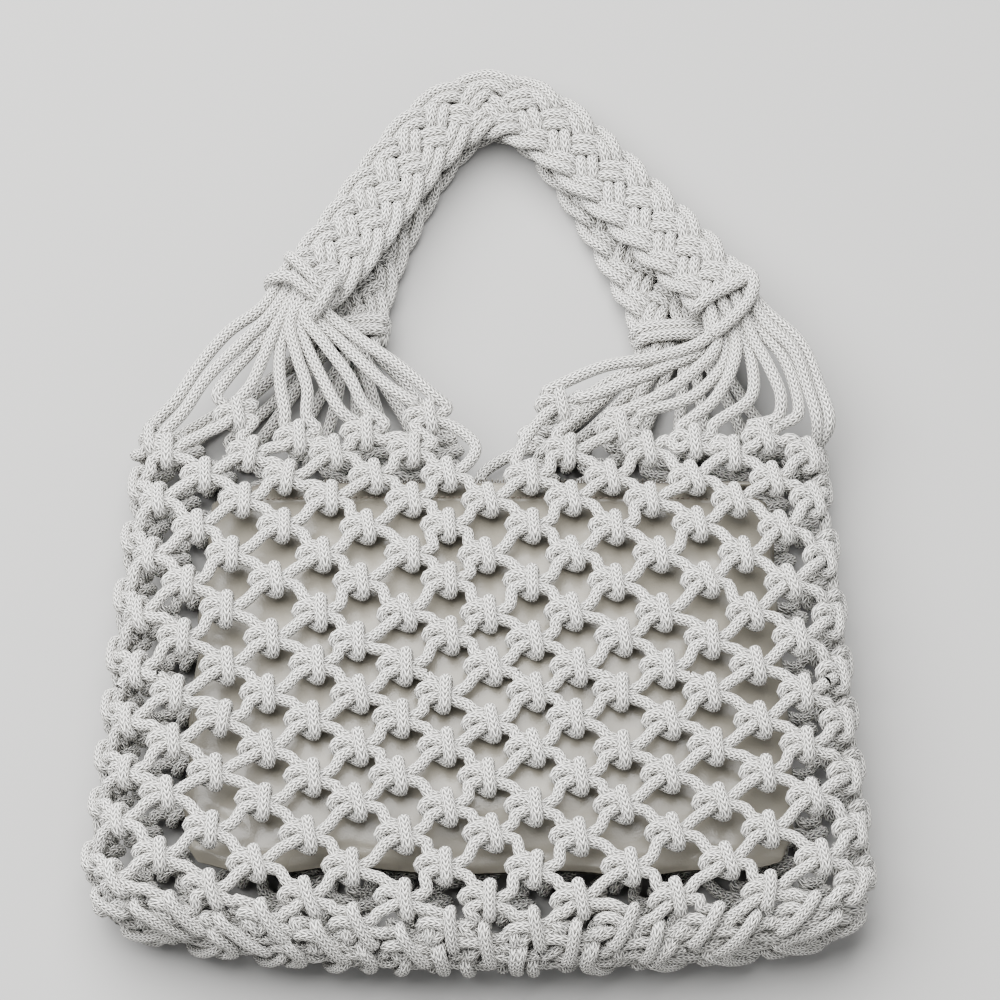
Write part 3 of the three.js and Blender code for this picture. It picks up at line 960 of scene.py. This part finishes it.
# Shares of the pouch's length, width and thickness, and of the rise of its middle
pouchStations = np.array([
    (0, 0.93, 0.34, 0), (0.07, 0.94, 0.5, 0.1), (0.22, 0.95, 0.8, 0.55), (0.42, 0.97, 1, 1),
    (0.65, 0.99, 1, 1), (0.84, 1, 0.85, 1), (0.95, 0.99, 0.5, 1), (0.99, 0.97, 0.2, 1), (1, 0.955, 0, 1)])


def station(share, k):
    return float(np.interp(share, pouchStations[:, 0], pouchStations[:, k]))


def ripple(x, y, z):
    return noise.noise(Vector((x, y, z)))


# A sine or cosine bent towards a square, with its sign kept
def squared(value, power):
    return math.copysign(abs(value) ** power, value)


# The pouch's skin at an angle round it and a share of its length, in mm of the row frame
def pouchPoint(angle, share):
    s = pouchSizes
    width, thickness, rise = (station(share, k) for k in (1, 2, 3))
    if s["ease"] < share < 1 - s["ease"]:
        thickness = (thickness * 2 + (station(share - s["ease"], 2) + station(share + s["ease"], 2))) / 4
    front = math.sin(angle)
    x = -s["width"] / 2 * width * squared(math.cos(angle), s["round"])
    z = s["thickness"] / 2 * thickness * squared(front, s["round"])
    z += s["frontLift"] * max(front, 0) * smooth(share / s["frontLiftShare"])
    y = netSizes["mouthY"] - s["topFromRim"] - share * s["length"]
    # the bottom edge hangs unevenly, and the mouth's corners are rounded
    hem = s["hemWave"] * ripple(x / s["hemWaveLong"], 3.1, 0)
    hem += s["hemCorner"] * abs(x / (s["width"] / 2)) ** 5
    y += smooth((share - 0.5) / 0.5) * hem
    past = max((abs(x) - s["mouthCornerFrom"]) / s["mouthCornerLong"], 0)
    y -= (1 - smooth(share / s["mouthShare"])) * s["mouthCorner"] * past ** 2
    height = lerp(s["mouthHeight"], s["middleHeight"], rise)
    return np.array([x + s["shift"], y, height + z]) + frameShift


# The outward direction of the pouch's skin at an angle round it
def pouchSide(angle):
    return unit(np.array([math.cos(angle) * -pouchSizes["edgeShare"], 0, math.sin(angle)]))


# Soft waves, creases, puckers at the side seams and crushed lower corners. Both faces get their own.
def pouchBulge(point, share, angle):
    s = pouchSizes
    x, y = point[:2]
    face = 1 if math.sin(angle) >= 0 else 7
    calm = smooth(share / s["calmTop"]) * smooth((1.0 - share) / s["calmFoot"])
    soft = ripple(x / 42, y / 30, face) * s["softWave"] + ripple(x / 19, y / 15, face + 3) * s["fineWave"]
    crease = 1 - abs(ripple(x / 36 + y / 60, y / 22 - x / 90, face + 9)) * s["creaseSharp"]
    ridge = max(crease, 0) ** 2.2 * ripple(x / 50, y / 50, face + 20)
    edge = 1 - abs(math.sin(angle)) ** 0.5
    pucker = edge * ripple(y / 9, face, 4.4) * s["pucker"]
    corner = smooth((share - s["crushShare"]) / s["crushShareLong"])
    corner *= smooth((abs(x) - s["crushFrom"]) / s["crushLong"])
    crush = corner * ripple(x / 8 + y / 14, y / 9, face) * s["crush"]
    return calm * (s["wrinkle"] * soft + s["crease"] * ridge + pucker + crush)


def makePouch(material):
    s = pouchSizes
    around = s["around"]
    band = s["bandDown"] / s["length"]
    # rows are closer together where the band's edge steps down
    shares = sorted(set(np.round(np.concatenate([
        np.linspace(0, 1, s["down"]), [band - 0.006, band - 0.002, band + 0.002, band + 0.006]]), 5)))
    angles = [2 * math.pi * (k + 0.5) / around for k in range(around)]
    grid = []
    for share in shares:
        ring = []
        for angle in angles:
            point = pouchPoint(angle, share)
            lift = pouchBulge(point, share, angle)
            lift += s["bandRise"] * (1 - smooth((share - band + 0.003) / 0.008))
            ring.append(point + pouchSide(angle) * lift)
        grid.append(ring)
    lips = []
    for drop, inset in lipRows:
        below = np.array([0, drop, 0])
        lips.append([grid[0][k] - pouchSide(angle) * inset - below for k, angle in enumerate(angles)])
    rings = lips[::-1] + grid
    points = np.array(rings).reshape(-1, 3) * mm
    faces = []
    for row in range(len(rings) - 1):
        for k in range(around):
            a, b = row * around + k, row * around + (k + 1) % around
            faces.append((a, a + around, b + around, b))
    pouch = meshObject("pouch", points.tolist(), faces, material)
    layer = pouch.data.uv_layers.new(name="pouchUV")
    for loop in pouch.data.loops:
        x, y = points[loop.vertex_index][:2] / mm
        layer.data[loop.index].uv = (x / 100, y / 100)
    print("pouch triangles:", 2 * len(faces))
    return pouch


leatherSizes = {
    # painted shade: the base colour is far darker than the leather's own light beige, for the shade it lies
    # in under the net
    "colour": (0.124, 0.1145, 0.093, 1),
    "darker": 0.86,
    "toneScale": 18.0,
    "poreScale": 1100.0,
    "poreShare": 0.12,
    "dentScale": 95.0,
    "bumpStrength": 0.6,
    "bump": 0.0006,
    "roughness": (0.24, 0.36),
    "specular": 0.3,
}


def leatherMaterial(name):
    s = leatherSizes
    material, tree, shader = newMaterial(name)
    tone = objectTexture(tree, "ShaderNodeTexNoise", Scale=s["toneScale"], Detail=4.0, Roughness=0.6)
    pores = objectTexture(tree, "ShaderNodeTexVoronoi", Scale=s["poreScale"])
    dents = objectTexture(tree, "ShaderNodeTexNoise", Scale=s["dentScale"], Detail=3.0, Roughness=0.5)
    darker = tuple(c * s["darker"] for c in s["colour"][:3]) + (1,)
    base = mixColour(tree, rangeNode(tree, tone.outputs[0], 0.35, 0.65, 0.0, 1.0), darker, s["colour"])
    tree.links.new(base, shader.inputs["Base Color"])
    height = mathNode(tree, "MULTIPLY_ADD", pores.outputs["Distance"], s["poreShare"], dents.outputs[0])
    bumpFrom(tree, shader, height, s["bumpStrength"], s["bump"])
    tree.links.new(rangeNode(tree, tone.outputs[0], 0.3, 0.7, *s["roughness"]), shader.inputs["Roughness"])
    shader.inputs["Specular IOR Level"].default_value = s["specular"]
    return material


def plainMaterial(name, s):
    material, tree, shader = newMaterial(name)
    shader.inputs["Base Color"].default_value = s["colour"]
    shader.inputs["Roughness"].default_value = s["roughness"]
    if "weaveScale" in s:
        weave = objectTexture(tree, "ShaderNodeTexWave", Scale=s["weaveScale"], Distortion=0.6)
        bumpFrom(tree, shader, weave.outputs["Fac"], 0.7, s["weaveBump"])
    return material


# Small rounded blocks set along a line by Geometry Nodes, every other one moved to the other side
def repeatTree(name, material):
    tree = bpy.data.node_groups.new(name, "GeometryNodeTree")
    addSockets(tree, "INPUT", ["Geometry"], "NodeSocketGeometry")
    addSockets(tree, "INPUT", ("pitch", "length", "width", "height", "stagger"))
    addSockets(tree, "OUTPUT", ["Geometry"], "NodeSocketGeometry")
    given = tree.nodes.new("NodeGroupInput").outputs
    result = tree.nodes.new("NodeGroupOutput")
    curve = addNode(tree, "GeometryNodeMeshToCurve", Mesh=given["Geometry"]).outputs[0]
    spaced = addNode(tree, "GeometryNodeResampleCurve", mode="LENGTH", Curve=curve, Length=given["pitch"])
    block = addNode(tree, "GeometryNodeMeshUVSphere", Segments=8, Rings=5, Radius=0.5)
    size = addNode(tree, "ShaderNodeCombineXYZ", X=given["length"], Y=given["width"], Z=given["height"])
    shaped = addNode(tree, "GeometryNodeTransform", Geometry=block.outputs[0], Scale=size.outputs[0])
    tangent = tree.nodes.new("GeometryNodeInputTangent")
    aim = addNode(tree, "FunctionNodeAlignRotationToVector", axis="X", Vector=tangent.outputs[0])
    odd = mathNode(tree, "MODULO", tree.nodes.new("GeometryNodeInputIndex").outputs[0], 2.0)
    step = mathNode(tree, "MULTIPLY", mathNode(tree, "SUBTRACT", odd, 0.5), given["stagger"])
    away = addNode(tree, "ShaderNodeCombineXYZ", Z=step)
    moved = addNode(tree, "GeometryNodeSetPosition", Geometry=spaced.outputs[0], Offset=away.outputs[0])
    placed = addNode(tree, "GeometryNodeInstanceOnPoints", Points=moved.outputs[0],
                     Instance=shaped.outputs[0], Rotation=aim.outputs[0])
    real = addNode(tree, "GeometryNodeRealizeInstances", Geometry=placed.outputs[0])
    soft = addNode(tree, "GeometryNodeSetShadeSmooth", Geometry=real.outputs[0])
    painted = addNode(tree, "GeometryNodeSetMaterial", Geometry=soft.outputs[0], Material=material)
    tree.links.new(painted.outputs[0], result.inputs[0])
    return tree


def repeatAlong(name, points, material, **values):
    line = bpy.data.meshes.new(name + "Line")
    line.from_pydata([tuple(p * mm) for p in points], [(n, n + 1) for n in range(len(points) - 1)], [])
    guide = bpy.data.objects.new(name + "Guide", line)
    scene.collection.objects.link(guide)
    modifier = guide.modifiers.new("repeat", "NODES")
    modifier.node_group = repeatTree(name, material)
    for item in modifier.node_group.interface.items_tree:
        if item.in_out == "INPUT" and item.name in values:
            modifier[item.identifier] = values[item.name] * mm
    graph = bpy.context.evaluated_depsgraph_get()
    mesh = bpy.data.meshes.new_from_object(guide.evaluated_get(graph))
    mesh.name = name
    guide.modifiers.remove(modifier)
    bpy.data.objects.remove(guide)
    piece = bpy.data.objects.new(name, mesh)
    scene.collection.objects.link(piece)
    print(name, "triangles:", triangles(mesh))
    return piece


stitchSizes = {
    "pitch": 2.4,
    "length": 1.75,
    "thick": 0.95,
    "fromBandEdge": 1.1,
    "lift": 0.08,
    "ends": (0.035, 0.965),
    "steps": 160,
    "colour": (0.12, 0.1, 0.08, 1),
    "roughness": 0.8,
}


def makeStitches(material):
    s = stitchSizes
    share = (pouchSizes["bandDown"] - s["fromBandEdge"]) / pouchSizes["length"]
    points = []
    for k in range(s["steps"] + 1):
        angle = math.pi * lerp(*s["ends"], k / s["steps"])
        point = pouchPoint(angle, share)
        lift = pouchBulge(point, share, angle) + pouchSizes["bandRise"] + s["lift"]
        points.append(point + pouchSide(angle) * lift)
    return repeatAlong("pouchStitches", points, material, pitch=s["pitch"], length=s["length"],
                       width=s["thick"], height=s["thick"], stagger=0)


tapeSizes = {
    "lengthShare": 0.94,
    "rise": 4.2,
    "riseSharp": 1.9,
    "riseEnds": 0.12,
    "thick": 0.8,
    "endPower": 2.5,
    "endRound": 0.4,
    "endLeast": 0.02,
    "across": 24,
    "along": 120,
    "colour": (0.17, 0.15, 0.125, 1),
    "roughness": 0.85,
    "weaveScale": 1600,
    "weaveBump": 0.0003,
}


# The closed zip's tape, folded up into a ridge along its middle
def makeTape(material):
    s = tapeSizes
    low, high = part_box("zip_tape")
    half = (high.x - low.x) / 2 * s["lengthShare"]
    deep = (high.z - low.z) / 2
    middle = np.array([(low.x + high.x) / 2 + pouchSizes["shift"] * mm, high.y, (low.z + high.z) / 2])
    across, along = s["across"], s["along"]
    points = []
    for drop in (0.0, s["thick"]):
        for a in range(along + 1):
            u = lerp(-1, 1, a / along)
            reach = deep * max(1 - abs(u) ** s["endPower"], s["endLeast"]) ** s["endRound"]
            ends = smooth((1 - abs(u)) / s["riseEnds"])
            for b in range(across + 1):
                v = lerp(-1, 1, b / across)
                rise = s["rise"] * math.exp(-(v * s["riseSharp"]) ** 2) * ends - drop
                points.append((middle[0] + half * u, middle[1] + rise * mm, middle[2] + reach * v))
    faces = []
    width = across + 1
    back = width * (along + 1)
    for a in range(along):
        for b in range(across):
            k = a * width + b
            faces.append((k, k + 1, k + width + 1, k + width))
            faces.append((back + k, back + k + width, back + k + width + 1, back + k + 1))
    rim = list(range(width)) + [a * width + across for a in range(1, along + 1)]
    rim += [along * width + b for b in range(across - 1, -1, -1)]
    rim += [a * width for a in range(along - 1, 0, -1)]
    for n, k in enumerate(rim):
        after = rim[(n + 1) % len(rim)]
        faces.append((k, back + k, back + after, after))
    return meshObject("zipTape", points, faces, material)


teethSizes = {
    "pitch": 1.15,
    "length": 0.72,
    "width": 1.6,
    "height": 3.0,
    "stagger": 1.3,
    "above": 0.4,
    "linePoints": 40,
    "colour": (0.11, 0.1, 0.085, 1),
    "roughness": 0.45,
}


def makeTeeth(material):
    s = teethSizes
    low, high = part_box("zip_teeth")
    middle = (low + high) / 2
    y = low.y / mm + tapeSizes["rise"] + s["above"]
    points = [np.array([x + pouchSizes["shift"], y, middle.z / mm])
              for x in np.linspace(low.x / mm, high.x / mm, s["linePoints"])]
    return repeatAlong("zipTeeth", points, material, pitch=s["pitch"], length=s["length"],
                       width=s["width"], height=s["height"], stagger=s["stagger"])


tabSizes = {
    "around": 24,
    "along": 36,
    "endPower": 0.45,
    "sidePower": 0.6,
}


# The folded tab that covers the zip's end: a rounded block
def makeEndTab(material):
    s = tabSizes
    low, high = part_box("zip_end_tab")
    size = high - low
    middle = (low + high) / 2
    around, along = s["around"], s["along"]
    points, faces = [], []
    for a in range(along + 1):
        v = -math.pi / 2 + math.pi * a / along
        px = squared(math.sin(v), s["endPower"])
        narrow = abs(math.cos(v)) ** s["endPower"]
        for b in range(around):
            u = 2 * math.pi * b / around
            py = squared(math.cos(u), s["sidePower"]) * narrow
            pz = squared(math.sin(u), s["sidePower"]) * narrow
            points.append((middle.x + pouchSizes["shift"] * mm + px * size.x / 2,
                           middle.y + py * size.y / 2, middle.z + pz * size.z / 2))
    for a in range(along):
        for b in range(around):
            k = a * around + b
            n = a * around + (b + 1) % around
            faces.append((k, n, n + around, k + around))
    return meshObject("zipEndTab", points, faces, material)


leather = leatherMaterial("pouchLeather")

pouch = makePouch(leather)
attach(pouch, "root")
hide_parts("pouch_body")

stitches = makeStitches(plainMaterial("pouchThread", stitchSizes))
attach(stitches, "root")

tape = makeTape(plainMaterial("zipTape", tapeSizes))
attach(tape, "root")
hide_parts("zip_tape")

teeth = makeTeeth(plainMaterial("zipTeeth", teethSizes))
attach(teeth, "root")
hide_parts("zip_teeth")

tab = makeEndTab(leather)
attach(tab, "root")
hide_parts("zip_end_tab")
print("pouch and zip made")


# floor, light and camera

floorSizes = {
    "width": 6,
    "colour": (0.2, 0.198, 0.193, 1),
    "roughness": 0.9,
}

lightSizes = {
    "key": {"place": (-0.55, 0.5, 1.5), "size": 2.7, "power": 330},
    "fill": {"place": (1.1, -0.9, 1.1), "size": 1.6, "power": 16},
}

skySizes = {
    "colour": (0.97, 0.985, 1, 1),
    "strength": 0.64,
}


def makeFloor():
    h = floorSizes["width"] / 2
    corners = [(-h, -h, 0), (h, -h, 0), (h, h, 0), (-h, h, 0)]
    material = plainMaterial("paleFloor", floorSizes)
    meshObject("floor", corners, [(0, 1, 2, 3)], material, soft=False)


def makeLight(name):
    s = lightSizes[name]
    data = bpy.data.lights.new(name + "Light", "AREA")
    data.shape = "DISK"
    data.size = s["size"]
    data.energy = s["power"]
    light = bpy.data.objects.new(name + "Light", data)
    light.location = s["place"]
    light.rotation_euler = light.location.to_track_quat("Z", "Y").to_euler()
    scene.collection.objects.link(light)
    return light


def makeSky():
    world = bpy.data.worlds.new("softSky")
    world.use_nodes = True
    background = world.node_tree.nodes["Background"]
    background.inputs["Color"].default_value = skySizes["colour"]
    background.inputs["Strength"].default_value = skySizes["strength"]
    scene.world = world


# The photo's view: the row frame's origin is seen at the pixel (middleX, middleY) of the frame
def makeCamera():
    s = cameraSizes
    tilt = math.radians(s["elevation"])
    data = bpy.data.cameras.new("camera")
    data.sensor_width = s["sensor"]
    data.lens = s["pixelsPerMm"] * s["distance"] * s["sensor"] / s["frameWidth"]
    data.clip_end = 20
    camera = bpy.data.objects.new("camera", data)
    scene.collection.objects.link(camera)
    right = Vector((1, 0, 0))
    up = Vector((0, math.sin(tilt), math.cos(tilt)))
    away = Vector((0, -math.cos(tilt), math.sin(tilt)))
    half = s["frameWidth"] / 2
    target = Vector(frameShift) * mm
    target += right * ((half - s["middleX"]) / s["pixelsPerMm"] * mm)
    target += up * ((s["middleY"] - half) / s["pixelsPerMm"] * mm)
    camera.location = target + away * s["distance"] * mm
    camera.rotation_euler = away.to_track_quat("Z", "Y").to_euler()
    scene.camera = camera


makeFloor()
key = makeLight("key")
fill = makeLight("fill")
makeSky()
makeCamera()
print("stage made")
